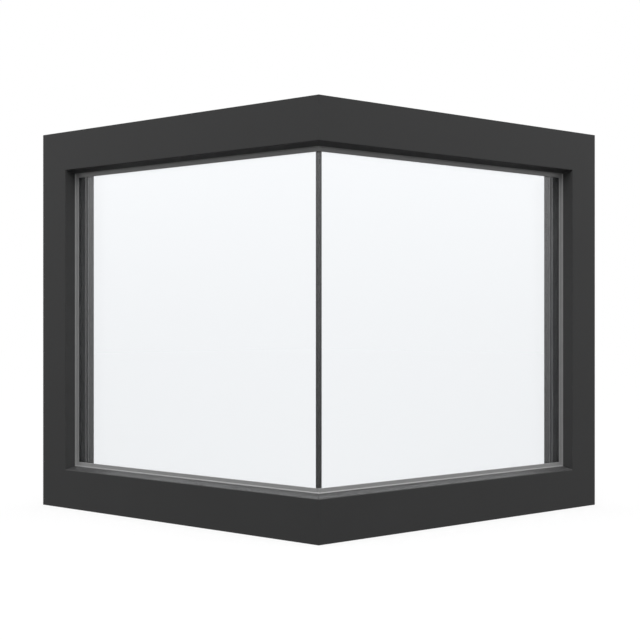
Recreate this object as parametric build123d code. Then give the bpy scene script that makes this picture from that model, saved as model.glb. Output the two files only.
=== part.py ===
"""Fixed uPVC corner window: two lights at a right angle that meet glass to glass.

The origin is the outer corner at the underside of the sill. The right light runs along +X with its
outside facing -Y, and the left light is its mirror image along +Y. Millimetres, Z up.
Profiles are drawn with the depth from the outer face first and the height from the wall side second.
"""

import os
from math import sqrt

from build123d import *

# Overall sizes
leg_length = 792.0  # outer corner to the wall side of a jamb
height = 750.0
frame_depth = 70.0

# Frame profile
rebate_floor = 70.0  # wall side to the floor of the glazing rebate
flange_height = 12.5  # outer flange above the rebate floor
reveal_depth = 19.0  # bevelled reveal, from the outer face back to the gasket
reveal_rise = 6.0
face_edge_radius = 1.8
room_edge_radius = 2.5
outer_wall = 2.8
web = 1.5
front_chamber = 8.0
drain_chamber = 10.0

# Anchor grooves in the wall side, set in from the outer face and from the room face
front_anchor_inset = 29.0
room_anchor_inset = 13.0
anchor_mouth = 3.6
anchor_undercut = 1.9
anchor_lip = 2.0
anchor_depth = 5.0

# Drain slots of the sill, set in from the corner and from the jamb
drain_inset = 180.0
drain_shift = 60.0  # outlet under the frame to inlet in the rebate
drain_length = 28.0
drain_width = 4.0

# Sealed glass unit
pane = 4.0
cavity = 16.0
edge_clearance = 5.0  # glass edge to the rebate floor
edge_seal = 5.0
spacer_height = 7.0

# Packers that carry the unit, set in like the drain slots; water drains through the channel under them
packer_inset = 140.0
packer_length = 100.0
packer_channel_width = 10.0
packer_channel_depth = 2.0

# Glass corner, measured square to its mitre plane
corner_joint_width = 2.0
corner_seal = 4.0

# Outer gasket between flange and glass
gasket_gap = 5.4
gasket_seat = 6.0
gasket_rise = 8.7  # flange tip to the sightline
shoulder_depth = 2.0
shoulder_rise = 2.0
shoulder_crown = 0.5
lip_groove = 0.4
lip_thickness = 1.6  # at its round tip
lip_clearance = 1.0  # tip to the glass
lip_bevel = 1.6  # from the tip down to the line where the lip meets the glass

# Glazing bead and its gasket
bead_gasket_gap = 3.0
bead_gasket_height = 13.0
bead_gasket_proud = 0.5  # gasket lip above the bead
bead_gasket_flat = 0.6  # width of the lip's tip at the glass
bead_height = 15.7
bead_fall = 4.5
bead_setback = 2.1  # bead face behind the room face of the frame
bead_wall = 1.4
bead_roof = 2.8  # thicker, so that the rounded edge keeps its wall
bead_edge_radius = 4.0
bead_front_radius = 0.7
bead_groove_inset = 2.5
bead_groove_width = 3.6
bead_groove_depth = 8.0
bead_foot_depth = 6.5
bead_foot_play = 0.25

# Heights and depths that several pieces share
flange_tip = rebate_floor + flange_height
face_width = flange_tip - reveal_rise
glass_front = reveal_depth + gasket_gap
cavity_front = glass_front + pane
cavity_back = cavity_front + cavity
glass_back = cavity_back + pane
glass_edge = rebate_floor + edge_clearance
sightline = flange_tip + gasket_rise
bead_front = glass_back + bead_gasket_gap
bead_back = frame_depth - bead_setback
bead_top = rebate_floor + bead_height
bead_groove_start = bead_front + bead_groove_inset
bead_groove_end = bead_groove_start + bead_groove_width
drain_chamber_start = outer_wall + front_chamber + web
drain_chamber_end = drain_chamber_start + drain_chamber

# Mitre planes: each keeps the named bar on its upper side
corner_mitre = Plane(origin=(0, 0, 0), z_dir=(1, -1, 0))
sill_mitre = Plane(origin=(leg_length, 0, 0), z_dir=(-1, 0, -1))
head_mitre = Plane(origin=(leg_length, 0, height), z_dir=(-1, 0, 1))
mid_height = Plane(origin=(0, 0, height / 2), z_dir=(0, 0, 1))

# Section planes of the right light: depth runs along +Y and height away from the wall side
sill_section = Plane(origin=(0, 0, 0), x_dir=(0, 1, 0), z_dir=(1, 0, 0))
jamb_section = Plane(origin=(leg_length, 0, 0), x_dir=(0, 1, 0), z_dir=(0, 0, 1))


def polygon(*points):
    return make_face(Polyline(*points, close=True))


def rectangle(depth_from, depth_to, height_from, height_to):
    return polygon(
        (depth_from, height_from),
        (depth_to, height_from),
        (depth_to, height_to),
        (depth_from, height_to),
    )


def round_corner(profile, depth, rise, radius):
    corner = profile.vertices().sort_by_distance((depth, rise))[0]
    return fillet(corner, radius)


def reveal_height(depth):
    """Height of the bevelled reveal at a depth behind the outer face."""
    return face_width + reveal_rise * depth / reveal_depth


# Frame profile


def frame_outline():
    outline = polygon(
        (0, 0),
        (0, face_width),
        (reveal_depth, flange_tip),
        (reveal_depth, rebate_floor),
        (frame_depth, rebate_floor),
        (frame_depth, 0),
    )
    outline = round_corner(outline, 0, face_width, face_edge_radius)
    return round_corner(outline, frame_depth, rebate_floor, room_edge_radius)


def frame_chambers():
    """The five hollow chambers, from the outer face to the room."""
    ceiling = rebate_floor - outer_wall
    front_end = outer_wall + front_chamber
    front = polygon(
        (outer_wall, outer_wall),
        (front_end, outer_wall),
        (front_end, reveal_height(front_end) - outer_wall),
        (outer_wall, reveal_height(outer_wall) - outer_wall),
    )
    drain = rectangle(drain_chamber_start, drain_chamber_end, outer_wall, ceiling)
    core = rectangle(drain_chamber_end + web, bead_groove_start - 2 * web, outer_wall, ceiling)
    under_groove = rectangle(
        bead_groove_start - web,
        bead_groove_end + web,
        outer_wall,
        rebate_floor - bead_groove_depth - web,
    )
    room = rectangle(bead_groove_end + 2 * web, frame_depth - outer_wall, outer_wall, ceiling)
    return [front, drain, core, under_groove, room]


def anchor_groove(centre):
    """Undercut groove in the wall side that holds the fixing straps."""
    half_mouth = anchor_mouth / 2
    half_width = half_mouth + anchor_undercut
    return polygon(
        (centre - half_mouth, 0),
        (centre + half_mouth, 0),
        (centre + half_mouth, anchor_lip),
        (centre + half_width, anchor_lip),
        (centre + half_width, anchor_depth),
        (centre - half_width, anchor_depth),
        (centre - half_width, anchor_lip),
        (centre - half_mouth, anchor_lip),
    )


def anchor_boss(centre):
    """Web around an anchor groove, where it stands up into the chambers."""
    half_width = anchor_mouth / 2 + anchor_undercut + web
    return rectangle(centre - half_width, centre + half_width, 0, anchor_depth + web)


def frame_profile():
    profile = frame_outline()
    for chamber in frame_chambers():
        profile -= chamber
    for centre in (front_anchor_inset, frame_depth - room_anchor_inset):
        profile += anchor_boss(centre)
        profile -= anchor_groove(centre)
    groove_floor = rebate_floor - bead_groove_depth
    return profile - rectangle(bead_groove_start, bead_groove_end, groove_floor, rebate_floor)


# Gasket and bead profiles


def gasket_profile():
    """Outer gasket: a crowned shoulder on the flange and a lip up the glass, rounded at its free tip."""
    seat = flange_tip - gasket_seat
    shoulder = (reveal_depth + shoulder_depth, flange_tip + shoulder_rise)
    lip_root = (shoulder[0] + lip_groove, shoulder[1] - lip_groove)
    tip_radius = lip_thickness / 2
    tip_back = glass_front - lip_clearance
    tip_start = (tip_back - lip_thickness, sightline - tip_radius)
    tip_top = (tip_back - tip_radius, sightline)
    tip_end = (tip_back, sightline - tip_radius)
    contact = (glass_front, sightline - tip_radius - lip_bevel)
    crown = SagittaArc((reveal_depth, flange_tip), shoulder, shoulder_crown)
    lip = Polyline(shoulder, lip_root, tip_start)
    tip = ThreePointArc(tip_start, tip_top, tip_end)
    seated = Polyline(
        tip_end,
        contact,
        (glass_front, seat),
        (reveal_depth, seat),
        (reveal_depth, flange_tip),
    )
    return make_face([crown, lip, tip, seated])


def bead_gasket_profile():
    """Room side gasket: its rounded lip stands a little above the bead."""
    lip = bead_top + bead_gasket_proud
    seat = bead_top - bead_gasket_height
    outline = polygon((glass_back, seat), (bead_front, seat), (bead_front, lip), (glass_back, lip))
    return round_corner(outline, bead_front, lip, bead_gasket_gap - bead_gasket_flat)


def bead_profile():
    """Hollow glazing bead with a sloping top and a foot that clips into the frame."""
    room_top = bead_top - bead_fall
    foot_start = bead_groove_start + bead_foot_play
    foot_end = bead_groove_end - bead_foot_play
    body = polygon(
        (bead_front, rebate_floor),
        (bead_front, bead_top),
        (bead_back, room_top),
        (bead_back, rebate_floor),
    )
    body = round_corner(body, bead_back, room_top, bead_edge_radius)
    body = round_corner(body, bead_front, bead_top, bead_front_radius)
    body += rectangle(foot_start, foot_end, rebate_floor - bead_foot_depth, rebate_floor + bead_wall)
    hollow = polygon(
        (bead_front + bead_wall, rebate_floor + bead_wall),
        (bead_front + bead_wall, bead_top - bead_roof),
        (bead_back - bead_wall, room_top - bead_roof),
        (bead_back - bead_wall, rebate_floor + bead_wall),
    )
    return body - hollow


# Mitred bars of the right light


def cut(shape, plane, keep=Keep.TOP):
    return split(shape, bisect_by=plane, keep=keep)


def sill_bar(profile):
    """A bar along the sill, mitred to its neighbours at the glass corner and at the jamb."""
    bar = extrude(sill_section * profile, amount=leg_length)
    return cut(cut(bar, corner_mitre), sill_mitre)


def jamb_bar(profile):
    bar = extrude(jamb_section * profile, amount=height)
    return cut(cut(bar, sill_mitre, Keep.BOTTOM), head_mitre, Keep.BOTTOM)


def drain_slots():
    """Inlets through the rebate floor and outlets through the underside, into one chamber."""
    inlet_depth = (reveal_depth + drain_chamber_end) / 2
    outlet_depth = (drain_chamber_start + drain_chamber_end) / 2
    slot = extrude(SlotOverall(drain_length, drain_width), amount=2 * outer_wall)
    slots = []
    for along, inwards in ((drain_inset, 1), (leg_length - drain_inset, -1)):
        slots.append(Pos(along, outlet_depth, -outer_wall / 2) * slot)
        inlet_floor = rebate_floor - 1.5 * outer_wall
        slots.append(Pos(along + inwards * drain_shift, inlet_depth, inlet_floor) * slot)
    return slots


def frame_bars():
    profile = frame_profile()
    plain_sill = sill_bar(profile)
    drained_sill = plain_sill
    for slot in drain_slots():
        drained_sill -= slot
    return {
        "sill": drained_sill,
        "head": mirror(plain_sill, mid_height),
        "jamb": jamb_bar(profile),
    }


def trim_bars(profile, kind):
    """A gasket or bead on the three framed sides of the light."""
    sill = sill_bar(profile)
    return {
        f"sill_{kind}": sill,
        f"head_{kind}": mirror(sill, mid_height),
        f"jamb_{kind}": jamb_bar(profile),
    }


# Sealed glass unit of the right light


def block(depth_from, depth_to, inset):
    """A slab of the unit, inset from the wall side on three sides and open to the glass corner."""
    rise = height - 2 * inset
    run = leg_length - inset
    slab = Box(run, depth_to - depth_from, rise, align=Align.MIN)
    return Pos(0, depth_from, inset) * slab


def glass_pane(depth_from):
    edge_of_joint = corner_mitre.offset(corner_joint_width / 2)
    return cut(block(depth_from, depth_from + pane, glass_edge), edge_of_joint)


def unit_parts():
    joint_side = corner_mitre.offset(corner_joint_width / 2)
    seal_side = corner_mitre.offset(corner_joint_width / 2 + corner_seal)
    spacer_edge = glass_edge + edge_seal
    spacer_face = spacer_edge + spacer_height
    filling = block(cavity_front, cavity_back, glass_edge)
    inside_seal = block(cavity_front, cavity_back, spacer_edge)
    air = block(cavity_front, cavity_back, spacer_face)
    return {
        "outer_pane": glass_pane(glass_front),
        "inner_pane": glass_pane(cavity_back),
        "spacer": cut(inside_seal - air, seal_side),
        "edge_seal": cut(filling, joint_side) - cut(inside_seal, seal_side),
    }


def packers():
    """Two blocks on the sill's rebate floor, under the ends of the unit."""
    middle = (glass_front + glass_back) / 2
    half_channel = packer_channel_width / 2
    channel_top = rebate_floor + packer_channel_depth
    profile = rectangle(glass_front, glass_back, rebate_floor, glass_edge)
    profile -= rectangle(middle - half_channel, middle + half_channel, rebate_floor, channel_top)
    packer = extrude(sill_section * profile, amount=packer_length)
    return {
        "near_packer": Pos(packer_inset - packer_length / 2, 0, 0) * packer,
        "far_packer": Pos(leg_length - packer_inset - packer_length / 2, 0, 0) * packer,
    }


def corner_joint():
    """Silicone between the mitred edges of the two units."""
    side = corner_joint_width / sqrt(2)
    plan = polygon(
        (glass_front, glass_front),
        (glass_front + side, glass_front),
        (glass_back + side, glass_back),
        (glass_back, glass_back),
        (glass_back, glass_back + side),
        (glass_front, glass_front + side),
    )
    return Pos(0, 0, glass_edge) * extrude(plan, amount=height - 2 * glass_edge)


def window_parts():
    light = {
        **frame_bars(),
        **trim_bars(gasket_profile(), "gasket"),
        **trim_bars(bead_profile(), "bead"),
        **trim_bars(bead_gasket_profile(), "bead_gasket"),
        **unit_parts(),
        **packers(),
    }
    parts = {"corner_joint": corner_joint()}
    for name, shape in light.items():
        parts[f"right_{name}"] = shape
        parts[f"left_{name}"] = mirror(shape, corner_mitre)
    return parts


os.makedirs("parts", exist_ok=True)
for node, solid in window_parts().items():
    export_step(solid, f"parts/{node}.step")
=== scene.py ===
# %% [markdown]
# ## A fixed corner window in dark grey plastic
# Two glazed lights meet at a right angle, glass against glass, with no post at the corner. The bars,
# beads, gaskets and panes are finished solids that come with their real sizes in metres. This lesson
# leaves their shapes alone: it gives each one the finish of the real material, then adds the camera,
# the studio and the light. Everything sits in one frame: the outer corner at the origin, +Z up.

# %% Load the window
import math
import bpy
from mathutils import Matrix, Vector


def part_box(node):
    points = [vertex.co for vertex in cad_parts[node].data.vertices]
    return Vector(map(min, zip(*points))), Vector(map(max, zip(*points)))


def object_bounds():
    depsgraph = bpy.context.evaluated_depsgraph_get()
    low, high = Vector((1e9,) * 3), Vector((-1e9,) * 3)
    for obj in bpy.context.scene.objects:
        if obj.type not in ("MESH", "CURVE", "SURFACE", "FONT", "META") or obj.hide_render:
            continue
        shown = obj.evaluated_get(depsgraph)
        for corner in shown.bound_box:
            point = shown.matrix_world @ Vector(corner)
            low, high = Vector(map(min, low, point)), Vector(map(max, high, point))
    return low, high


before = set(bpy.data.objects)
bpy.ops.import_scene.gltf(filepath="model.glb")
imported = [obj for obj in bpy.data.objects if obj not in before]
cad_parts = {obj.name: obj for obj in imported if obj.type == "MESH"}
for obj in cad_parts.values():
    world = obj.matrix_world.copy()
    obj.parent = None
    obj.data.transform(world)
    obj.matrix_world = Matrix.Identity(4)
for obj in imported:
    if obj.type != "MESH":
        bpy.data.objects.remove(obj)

cad_low, cad_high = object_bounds()
bpy.ops.object.select_all(action="DESELECT")
leg_length = cad_high[0] - cad_low[0]
height = cad_high[2] - cad_low[2]
print(f"{len(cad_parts)} pieces, {leg_length:.3f} m along each light, {height:.3f} m high")

# %% [markdown]
# ## A small language for shader nodes
# A finish is a graph of nodes, and a graph written link by link is hard to read. This class wraps one
# socket. Adding or multiplying two of them adds the Math node and returns its result, so a recipe reads
# like a formula. Every other node comes from one method: its type, its settings, then its sockets.

# %% Shader formulas
class Signal:
    """One output socket of a node tree, which can be used in a formula."""

    def __init__(self, tree, socket=None):
        self.tree = tree
        self.socket = socket

    def node(self, kind, output=0, settings=None, **sockets):
        """Adds a node, sets its settings, fills its sockets and returns one of its outputs."""
        made = self.tree.nodes.new(kind)
        for name, value in (settings or {}).items():
            if name == "stops":
                set_stops(made.color_ramp, value)
            else:
                setattr(made, name, value)
        for name, value in sockets.items():
            socket = find_socket(made, name)
            if isinstance(value, Signal):
                self.tree.links.new(value.socket, socket)
            else:
                socket.default_value = value
        return Signal(self.tree, made.outputs[output]) if len(made.outputs) else None

    def math(self, operation, first, second=0.0, third=0.0):
        """Adds a Math node for an operation that has no sign of its own."""
        return self.node("ShaderNodeMath", settings={"operation": operation}, _0=first, _1=second, _2=third)

    def __add__(self, other):
        return self.math("ADD", self, other)

    def __sub__(self, other):
        return self.math("SUBTRACT", self, other)

    def __rsub__(self, other):
        return self.math("SUBTRACT", other, self)

    def __mul__(self, other):
        return self.math("MULTIPLY", self, other)

    def __truediv__(self, other):
        return self.math("DIVIDE", self, other)

    def __pow__(self, other):
        return self.math("POWER", self, other)

    def __abs__(self):
        return self.math("ABSOLUTE", self)

    __radd__ = __add__
    __rmul__ = __mul__


def find_socket(node, name):
    """A socket by its name, with spaces written as underscores, or by its number, as in _0."""
    if name[1:].isdigit():
        return node.inputs[int(name[1:])]
    return next(s for s in node.inputs if s.name == name.replace("_", " ") and s.enabled)


def set_stops(ramp, stops):
    """Gives a colour ramp its stops, each a place from 0 to 1 and a grey level."""
    while len(ramp.elements) < len(stops):
        ramp.elements.new(1.0)
    for element, (place, level) in zip(ramp.elements, stops):
        element.position = place
        element.color = grey(level)


def grey(level, tint=(1.0, 1.0, 1.0)):
    """A colour from one linear grey level and a faint tint."""
    return tuple(level * part for part in tint) + (1.0,)


print("shader formulas ready")

# %% [markdown]
# ## What every solid finish shares
# Each finish starts as an empty material that reads Object coordinates, which are metres here, so a
# pattern's scale is the real one. It ends in one Principled shader. In between, no real surface has one
# flat colour or one even gloss, so both wander a little about a mean, each driven by a pattern.

# %% Start and close a finish
def new_finish(name):
    """An empty material, and a signal to start its formulas from."""
    material = bpy.data.materials.new(name)
    material.use_nodes = True
    material.node_tree.nodes.clear()
    return material, Signal(material.node_tree)


def object_place(start):
    """Where a point lies in the window's frame, in metres."""
    return start.node("ShaderNodeTexCoord", "Object")


def blend(start, amount, low, high):
    """A colour between two others."""
    return start.node("ShaderNodeMix", 2, {"data_type": "RGBA"}, _0=amount, _6=low, _7=high)


def varied_grey(start, amount, level, shades, tint=(1.0, 1.0, 1.0)):
    """A grey that wanders between a darker share of its level and a lighter, faintly tinted one."""
    darker, lighter = shades
    return blend(start, amount, grey(level * darker), grey(level * lighter, tint))


def around(mean, spread, pattern):
    """A value that a pattern from 0 to 1 moves about its mean."""
    return mean + spread * (pattern - 0.5)


def bump(start, raised, depth):
    """A normal that follows a height of depth metres."""
    return start.node("ShaderNodeBump", Height=raised, Strength=1.0, Distance=depth)


def close_finish(start, colour, roughness, normal, specular=0.5):
    """Ends a finish in one Principled shader."""
    shader = start.node(
        "ShaderNodeBsdfPrincipled",
        Base_Color=colour,
        Roughness=roughness,
        Specular_IOR_Level=specular,
        Normal=normal,
    )
    start.node("ShaderNodeOutputMaterial", Surface=shader)


print("finishes can be started and closed")

# %% [markdown]
# ## Patterns that several finishes share
# Extruded plastic and rubber carry faint lines along the bar, from the die that they were pressed
# through. A noise that is squeezed across the bar and stretched along it gives those lines. A noise left
# as it is gives soft clouds, for the way a gloss or a colour drifts.

# %% Streaks and clouds
ALONG_X, ALONG_Y, ALONG_Z = 0, 1, 2
axis_names = ("x", "y", "z")
streak_detail = 2.0
cloud_detail = 3.0


def streaks(start, place, axis, lines_per_metre, stretch):
    """Noise drawn out along one axis, from 0 to 1."""
    squeeze = [1.0, 1.0, 1.0]
    squeeze[axis] = 1.0 / stretch
    drawn = start.node("ShaderNodeMapping", Vector=place, Scale=squeeze)
    return start.node(
        "ShaderNodeTexNoise", "Fac", Vector=drawn, Scale=lines_per_metre, Detail=streak_detail
    )


def clouds(start, place, patches_per_metre):
    """Soft cloudy noise, from 0 to 1."""
    return start.node(
        "ShaderNodeTexNoise", "Fac", Vector=place, Scale=patches_per_metre, Detail=cloud_detail
    )


def coordinates(start, place):
    """The three coordinates of a place, each on its own."""
    parts = start.node("ShaderNodeSeparateXYZ", Vector=place).socket.node.outputs
    return [Signal(start.tree, part) for part in parts]


print("patterns ready")

# %% [markdown]
# ## The frame's dark grey foil
# The bars are plastic under a smooth anthracite foil, and each mitre shows a hairline where two bars
# were welded. A groove could be cut there, but it would be too fine to see as a shape. The shader finds
# the hairline instead: it lies where the distance to the mitre plane is near zero, and that plane is
# known from the window's own size.

# %% Hairlines at the mitres
seam_half_width = 0.0003
seam_reach = 0.1


def mitre_seams(start, place):
    """1 on the hairline where two bars meet, and 0 elsewhere."""
    x, y, z = coordinates(start, place)
    along = start.math("MAXIMUM", x, y)
    low_seam = abs(along + z - leg_length) + start.math("GREATER_THAN", z, seam_reach)
    high_seam = abs(along - z + height - leg_length) + start.math("LESS_THAN", z, height - seam_reach)
    nearest = start.math("MINIMUM", start.math("MINIMUM", low_seam, high_seam), abs(x - y))
    return 1.0 - start.math("MINIMUM", nearest / (seam_half_width * math.sqrt(2.0)), 1.0)


print(f"mitre hairlines {2000.0 * seam_half_width:.1f} mm wide")

# %% [markdown]
# ## Foil along the bars
# The foil has a fine emboss along the bar, and its gloss drifts in patches about a hand wide. A picture
# of foil could be wrapped round the bars, but noise needs no picture and no unwrapping, and stays sharp
# close up. On a seam the foil is darker, duller and a little sunk. There is one foil for each way that a
# bar can run, because the emboss follows the bar.

# %% Frame finish
foil_grey = 0.052
foil_shades = (0.9, 1.1)
foil_tint = (0.99, 1.0, 1.015)
foil_roughness = 0.42
foil_specular = 0.10
foil_patches = 9.0
emboss_lines = 1500.0
emboss_stretch = 14.0
emboss_depth = 0.00001
gloss_drift = 0.07
gloss_grain = 0.05
seam_shade = 0.3
seam_dullness = 0.15
seam_embosses_deep = 3.0


def frame_foil(axis):
    """Anthracite foil with its emboss along one axis."""
    material, start = new_finish(f"anthracite_foil_{axis_names[axis]}")
    place = object_place(start)
    emboss = streaks(start, place, axis, emboss_lines, emboss_stretch)
    drift = clouds(start, place, foil_patches)
    seam = mitre_seams(start, place)
    tone = 0.5 * (drift + emboss) - seam_shade * seam
    colour = varied_grey(start, tone, foil_grey, foil_shades, foil_tint)
    even_roughness = around(around(foil_roughness, gloss_drift, drift), gloss_grain, emboss)
    roughness = even_roughness + seam_dullness * seam
    normal = bump(start, emboss - seam_embosses_deep * seam, emboss_depth)
    close_finish(start, colour, roughness, normal, foil_specular)
    return material


foils = [frame_foil(axis) for axis in (ALONG_X, ALONG_Y, ALONG_Z)]
print("frame foil:", ", ".join(material.name for material in foils))

# %% [markdown]
# ## Rubber gaskets
# The gaskets between frame and glass are mid grey rubber, much paler than the foil. Those at the beads
# are darker. Rubber shows fine lines from its die and a slightly dusty, uneven gloss. The foil's recipe
# could be used again in another grey, but rubber's lines are finer and longer, so it has its own.

# %% Gasket finish
rubber_grey = 0.29
dark_rubber_grey = 0.15
rubber_shades = (0.85, 1.15)
rubber_tint = (0.995, 1.0, 1.005)
rubber_roughness = 0.32
rubber_gloss_drift = 0.16
rubber_patches = 45.0
die_lines_per_metre = 2600.0
die_line_stretch = 40.0
die_line_depth = 0.00003


def gasket_rubber(name, level, axis):
    """Extruded rubber of one grey level, with die lines along one axis."""
    material, start = new_finish(f"{name}_{axis_names[axis]}")
    place = object_place(start)
    die_lines = streaks(start, place, axis, die_lines_per_metre, die_line_stretch)
    bloom = clouds(start, place, rubber_patches)
    colour = varied_grey(start, 0.5 * (die_lines + bloom), level, rubber_shades, rubber_tint)
    roughness = around(rubber_roughness, rubber_gloss_drift, bloom)
    close_finish(start, colour, roughness, bump(start, die_lines, die_line_depth))
    return material


def rubber_set(name, level):
    """One rubber for each way that a gasket can run."""
    return [gasket_rubber(name, level, axis) for axis in (ALONG_X, ALONG_Y, ALONG_Z)]


rubbers = rubber_set("grey_rubber", rubber_grey)
dark_rubbers = rubber_set("dark_rubber", dark_rubber_grey)
print("gasket rubber:", ", ".join(material.name for material in rubbers + dark_rubbers))

# %% [markdown]
# ## The spacer between the panes
# Between the panes runs a black spacer bar with fine holes, through which the drying beads inside it
# take up moisture. The holes could be cut in the solid, but there are many and they are tiny, so a cell
# pattern stands for them. A lighter grey strip runs along the edge at the inner pane. It is partly the grey
# butyl that seals the bar to that pane, and partly a painted reflection: the lighter band that the glass
# mirrors over that edge. How deep a point lies behind the outer face is the smaller of its X and Y, so one
# comparison finds the strip in both lights.

# %% Spacer finish
spacer_grey = 0.021
spacer_shades = (0.7, 1.2)
spacer_roughness = 0.56
spacer_gloss_drift = 0.12
spacer_patches = 60.0
# The lighter strip at the back edge is partly grey butyl and partly a painted reflection.
butyl_and_reflection_grey = 0.075
butyl_and_reflection_shades = (0.8, 1.2)
butyl_and_reflection_width = 0.0043
hole_pitch = 0.004
hole_scatter = 0.15
hole_steepness = 4.0
hole_rim = 0.1
hole_depth = 0.0002
spacer_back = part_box("right_spacer")[1][1]


def spacer_holes(start, place):
    """1 in the middle of each fine hole, falling to 0 outside it."""
    distance = start.node(
        "ShaderNodeTexVoronoi", "Distance", Vector=place, Scale=1.0 / hole_pitch, Randomness=hole_scatter
    )
    return 1.0 - start.math("SMOOTH_MIN", distance * hole_steepness, 1.0, hole_rim)


def spacer_bar():
    """Matt black spacer with fine holes along it, and a lighter strip at its back edge, partly butyl and
    partly a painted reflection.
    """
    material, start = new_finish("spacer_black")
    place = object_place(start)
    holes = spacer_holes(start, place)
    drift = clouds(start, place, spacer_patches)
    x, y = coordinates(start, place)[:2]
    # The strip along the inner pane is painted lighter: partly grey butyl, partly a painted reflection laid
    # there by the glass.
    butyl_and_reflection_strip = start.math("GREATER_THAN", start.math("MINIMUM", x, y), spacer_back - butyl_and_reflection_width)
    # Each hole is painted darker than the bar, as painted shade inside it, and the bump sinks it as well.
    black = varied_grey(start, drift - holes, spacer_grey, spacer_shades)
    butyl_and_reflection = varied_grey(start, drift, butyl_and_reflection_grey, butyl_and_reflection_shades)
    roughness = around(spacer_roughness, spacer_gloss_drift, drift)
    close_finish(start, blend(start, butyl_and_reflection_strip, black, butyl_and_reflection), roughness, bump(start, 0.0 - holes, hole_depth))
    return material


spacer_finish = spacer_bar()
print(f"made {spacer_finish.name}, with {1000.0 * butyl_and_reflection_width:.1f} mm of butyl")

# %% [markdown]
# ## Sealants and packers
# Outside the spacer each unit is closed with a black sealant, and the two units are joined at the corner
# with silicone, which is the glossiest of them and sets with a slightly uneven skin. The hidden packers
# that carry the glass are plain grey plastic. Each could have a recipe of its own, but they differ only in
# grey and gloss, so one does for all three.

# %% Sealant finishes
seal_grey = 0.006
silicone_grey = 0.018
packer_grey = 0.06
sealant_shades = (0.8, 1.25)
sealant_patches = 30.0
skin_patches = 220.0
skin_depth = 0.00001
skin_gloss_drift = 0.1


def sealant(name, level, mean_roughness, specular):
    """Dark sealant or plastic with a soft uneven skin."""
    material, start = new_finish(name)
    place = object_place(start)
    skin = clouds(start, place, skin_patches)
    colour = varied_grey(start, clouds(start, place, sealant_patches), level, sealant_shades)
    roughness = around(mean_roughness, skin_gloss_drift, skin)
    close_finish(start, colour, roughness, bump(start, skin, skin_depth), specular)
    return material


seal_finish = sealant("edge_seal_black", seal_grey, mean_roughness=0.3, specular=0.5)
silicone_finish = sealant("silicone_grey", silicone_grey, mean_roughness=0.13, specular=1.0)
packer_finish = sealant("packer_grey", packer_grey, mean_roughness=0.45, specular=0.5)
print("made", seal_finish.name, silicone_finish.name, packer_finish.name)

# %% [markdown]
# ## Clear glass
# A glass shader that bends light suits a thick block, but it is noisy, and a thin flat pane hardly moves
# what is seen through it. So a pane is mixed from two parts: a transparent shader for what passes, and a
# mirror for what is reflected. How much is reflected depends on the angle. Straight on it is about a
# twenty-fifth on each face, and at a grazing angle nearly all. That rise is a fifth power of Layer
# Weight's Facing, which is the same for both sides of a face. The inner pane is coated against
# reflections, so that the frame isn't mirrored a second time behind the first pane.

# %% Glass finish
plain_reflection = 0.045
coated_reflection = 0.008
grazing_power = 5.0
glass_tint = (0.9773, 0.9823, 0.9874, 1.0)


def clear_glass(name, straight_on):
    """Thin clear glass that reflects more at a grazing angle."""
    material, start = new_finish(name)
    facing = start.node("ShaderNodeLayerWeight", "Facing", Blend=0.5)
    reflected = straight_on + (1.0 - straight_on) * facing ** grazing_power
    through = start.node("ShaderNodeBsdfTransparent", Color=glass_tint)
    mirror = start.node("ShaderNodeBsdfGlossy", Color=grey(1.0), Roughness=0.0)
    shader = start.node("ShaderNodeMixShader", _0=reflected, _1=through, _2=mirror)
    start.node("ShaderNodeOutputMaterial", Surface=shader)
    return material


plain_glass = clear_glass("clear_glass", plain_reflection)
coated_glass = clear_glass("coated_glass", coated_reflection)
print("made", plain_glass.name, coated_glass.name)

# %% [markdown]
# ## Dress the pieces
# Each solid's name says what it is and where it runs: a jamb runs up, a sill or head of the right light
# runs along X, and one of the left light along Y. The finishes could be given out by hand, piece by
# piece, but the name is enough to pick the right one.

# %% Assign the finishes
def run_axis(name):
    """The axis that a bar, bead or gasket runs along."""
    if "jamb" in name:
        return ALONG_Z
    return ALONG_X if name.startswith("right") else ALONG_Y


def finish_for(name):
    """The finish of a piece, from its name."""
    if name.endswith("outer_pane"):
        return plain_glass
    if name.endswith("inner_pane"):
        return coated_glass
    if name.endswith("spacer"):
        return spacer_finish
    if name.endswith("edge_seal"):
        return seal_finish
    if name == "corner_joint":
        return silicone_finish
    if name.endswith("packer"):
        return packer_finish
    if name.endswith("bead_gasket"):
        return dark_rubbers[run_axis(name)]
    if name.endswith("gasket"):
        return rubbers[run_axis(name)]
    return foils[run_axis(name)]


for name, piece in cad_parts.items():
    piece.data.materials.clear()
    piece.data.materials.append(finish_for(name))
print("dressed", len(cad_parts), "pieces")

# %% [markdown]
# ## The camera
# The photograph looks level, within a hair of the corner's diagonal, from about two and a half metres,
# and its frame is square. A camera could be placed by eye, but here the slopes of the sill and the head
# give its distance. The lens follows from how large the window shows at that distance, and a shift of
# about a pixel centres the picture as the photograph does.

# %% Camera
picture_side = 640.0
sensor_width = 36.0
focal_pixels = 1523.8
corner_distance = 2.5334
aside_pixels = 1.28
below_pixels = 0.08
view_angle = math.radians(45.05)

camera_data = bpy.data.cameras.new("photo_camera")
camera_data.sensor_width = sensor_width
camera_data.lens = focal_pixels / picture_side * sensor_width
camera_data.shift_x = aside_pixels / picture_side
camera_data.shift_y = -below_pixels / picture_side
camera = bpy.data.objects.new("photo_camera", camera_data)
bpy.context.collection.objects.link(camera)
camera.location = (
    -corner_distance * math.cos(view_angle),
    -corner_distance * math.sin(view_angle),
    height / 2.0,
)
camera.rotation_euler = (math.radians(90.0), 0.0, view_angle - math.radians(90.0))
bpy.context.scene.camera = camera
print(f"camera {corner_distance:.2f} m from the corner, {camera_data.lens:.1f} mm lens")

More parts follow.
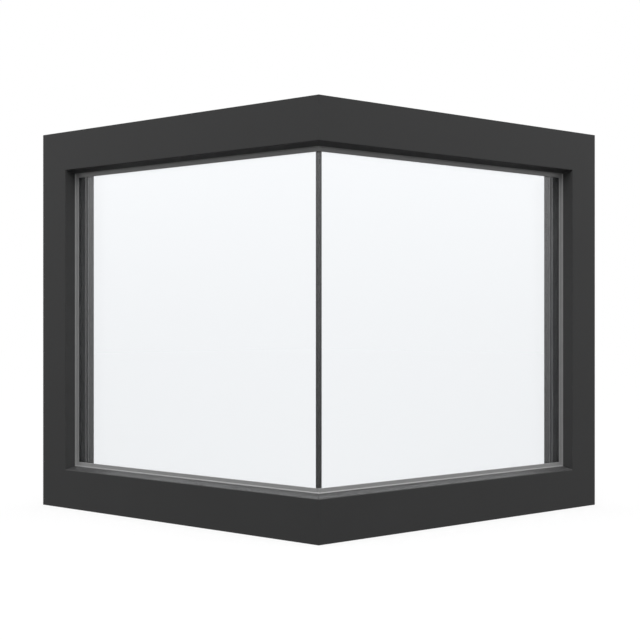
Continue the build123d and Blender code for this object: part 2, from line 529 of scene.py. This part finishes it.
# %% [markdown]
# ## A pale studio
# Dark frames and clear glass are shown best in a bright, even room. White walls and many lamps could
# make one, but a sky is simpler: a grey level for each elevation. The sky that lights the window is
# bright above and falls off towards the floor, so upright faces shade softly from top to bottom. The
# one that mirrors show is brighter near the horizon, where the panes reflect it.

# %% Skies
lamp_sky = (
    (-90.0, 0.10), (-20.0, 0.12), (-5.0, 0.18), (0.0, 0.25), (10.0, 0.38), (20.0, 0.48),
    (35.0, 0.8), (50.0, 1.4), (65.0, 2.2), (90.0, 2.6),
)
mirror_sky = (
    (-90.0, 0.20), (-30.0, 0.20), (-8.0, 0.40), (-5.0, 0.50), (-3.0, 0.62), (0.0, 0.78),
    (3.2, 1.02), (5.0, 1.18), (6.4, 1.28), (20.0, 1.35), (35.0, 1.9), (60.0, 3.0), (90.0, 3.2),
)


def sky_place(degrees):
    """Where an elevation lies on a sky's ramp."""
    return 0.5 + 0.5 * math.sin(math.radians(degrees))


def sky(start, upward, levels):
    """A sky with a grey level at each elevation, where 1 is white."""
    brightest = max(level for degrees, level in levels)
    stops = [(sky_place(degrees), level / brightest) for degrees, level in levels]
    ramp = start.node("ShaderNodeValToRGB", "Color", {"stops": stops}, Fac=0.5 + 0.5 * upward)
    return ramp * brightest


def seen_directly(start):
    """1 for what the camera sees, also through the glass, and 0 for every other ray."""
    camera_ray = start.node("ShaderNodeLightPath", "Is Camera Ray")
    through_ray = start.node("ShaderNodeLightPath", "Is Transmission Ray")
    return start.math("MAXIMUM", camera_ray, through_ray)


print(f"skies with {len(lamp_sky)} and {len(mirror_sky)} levels")

# %% [markdown]
# ## One world from both skies
# Light Path says what kind of ray asks for the background. Reflected rays get the mirror sky and all
# others the lamp sky, apart from what the camera sees, which is plain white. A white wall behind the
# window would do the same, but it would also throw its light on the frame.

# %% Studio world
world = bpy.data.worlds.new("studio")
world.use_nodes = True
world.node_tree.nodes.clear()
world.cycles.sampling_method = "NONE"
bpy.context.scene.world = world
start = Signal(world.node_tree)
direction = start.node("ShaderNodeTexCoord", "Generated")
upward = start.node("ShaderNodeSeparateXYZ", "Z", Vector=direction)
mirrored = start.node("ShaderNodeLightPath", "Is Glossy Ray")
seen = seen_directly(start)
room = sky(start, upward, lamp_sky) * (1.0 - mirrored) + sky(start, upward, mirror_sky) * mirrored
shown = room * (1.0 - seen) + seen
light = start.node("ShaderNodeBackground", Color=grey(1.0), Strength=shown)
start.node("ShaderNodeOutputWorld", Surface=light)
print("studio sky made")

# %% [markdown]
# ## Two soft lamps
# A wide lamp hangs in front of the corner and above it. It is close enough to light the top of the
# window more than the foot, and the corner more than the far ends, which gives the flat bars their shape.
# A second one hangs over the room side and shows the beads there. It lights the window alone, because
# light linking keeps it off the floor, where it would wash out the shadow.

# %% Soft lamps
lamp_distance = 3.2
lamp_elevation = math.radians(45.0)
lamp_side = 1.8
lamp_watts = 30.0
OUTSIDE, ROOM_SIDE = -1.0, 1.0
middle = Vector((leg_length / 2.0, leg_length / 2.0, height / 2.0))


def soft_lamp(name, side):
    """A wide lamp over one side of the window, on the corner's diagonal, turned to its middle."""
    across = side * math.cos(lamp_elevation) * math.sqrt(0.5)
    towards = Vector((across, across, math.sin(lamp_elevation)))
    lamp_data = bpy.data.lights.new(name, "AREA")
    lamp_data.size = lamp_side
    lamp_data.energy = lamp_watts
    lamp = bpy.data.objects.new(name, lamp_data)
    bpy.context.collection.objects.link(lamp)
    lamp.location = middle + lamp_distance * towards
    lamp.rotation_euler = towards.to_track_quat("Z", "Y").to_euler()
    lamp.visible_camera = False
    lamp.visible_glossy = False
    lamp.visible_transmission = False
    return lamp


outer_lamp = soft_lamp("outer_lamp", OUTSIDE)
room_lamp = soft_lamp("room_lamp", ROOM_SIDE)
window_pieces = bpy.data.collections.new("window_pieces")
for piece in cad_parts.values():
    window_pieces.objects.link(piece)
room_lamp.light_linking.receiver_collection = window_pieces
print(f"{outer_lamp.name} and {room_lamp.name} at {outer_lamp.location.z:.2f} m")

# %% [markdown]
# ## How bright the floor is
# The floor is white to the camera where nothing shades it, and keeps the window's soft shadow. A matt
# white sheet would show that shadow strongly, and a faint one suits the photograph. So the sheet is dark
# grey, which takes little shade, and it glows by as much as it lacks to white. That follows from the
# light that the sky gives a level surface, added up ring by ring from the horizon to the zenith.

# %% Light on the floor
floor_grey = 0.12
sky_rings = 900


def sky_level(degrees):
    """The lamp sky's level at an elevation, read from its stops."""
    for (low, low_level), (high, high_level) in zip(lamp_sky, lamp_sky[1:]):
        if degrees <= high:
            share = (sky_place(degrees) - sky_place(low)) / (sky_place(high) - sky_place(low))
            return low_level + share * (high_level - low_level)


ring_width = math.pi / 2.0 / sky_rings
rings = [ring_width * (ring + 0.5) for ring in range(sky_rings)]
floor_light = sum(sky_level(math.degrees(r)) * math.sin(2.0 * r) for r in rings) * ring_width
floor_glow = 1.0 - floor_grey * floor_light
print(f"the sky lights the floor at {floor_light:.2f}, so it glows at {floor_glow:.2f}")

# %% [markdown]
# ## The floor
# The floor is one wide plane, a hair below the sill, so that the two don't fight for the same place.
# Only the camera sees it: reflected and scattered light goes through it to the dim lower half of the
# sky, which keeps its glow off the window. From below it isn't there, so that the underside of the
# window can be looked at.

# %% Floor
floor_side = 24.0
floor_drop = 0.0005
floor_middle = (leg_length / 2.0, leg_length / 2.0, cad_low[2] - floor_drop)

bpy.ops.mesh.primitive_plane_add(size=floor_side, location=floor_middle)
floor = bpy.context.object
floor.name = "studio_floor"
bpy.ops.object.transform_apply(location=True, rotation=True, scale=True)
material, start = new_finish("pale_floor")
from_above = 1.0 - start.node("ShaderNodeNewGeometry", "Backfacing")
matt = start.node("ShaderNodeBsdfDiffuse", Color=grey(floor_grey))
glow = start.node("ShaderNodeEmission", Color=grey(1.0), Strength=floor_glow)
pale = start.node("ShaderNodeAddShader", _0=matt, _1=glow)
absent = start.node("ShaderNodeBsdfTransparent")
sheet = start.node("ShaderNodeMixShader", _0=seen_directly(start) * from_above, _1=absent, _2=pale)
start.node("ShaderNodeOutputMaterial", Surface=sheet)
floor.data.materials.append(material)
print(f"floor {floor_side:.0f} m square")

# %% [markdown]
# ## Show it
# The Standard view shows a colour as it is written. A ray may cross both lights, with eight glass
# faces and more, so it is allowed enough see-through steps.

# %% View settings
see_through_steps = 32
scene = bpy.context.scene
scene.view_settings.view_transform = "Standard"
scene.cycles.transparent_max_bounces = see_through_steps
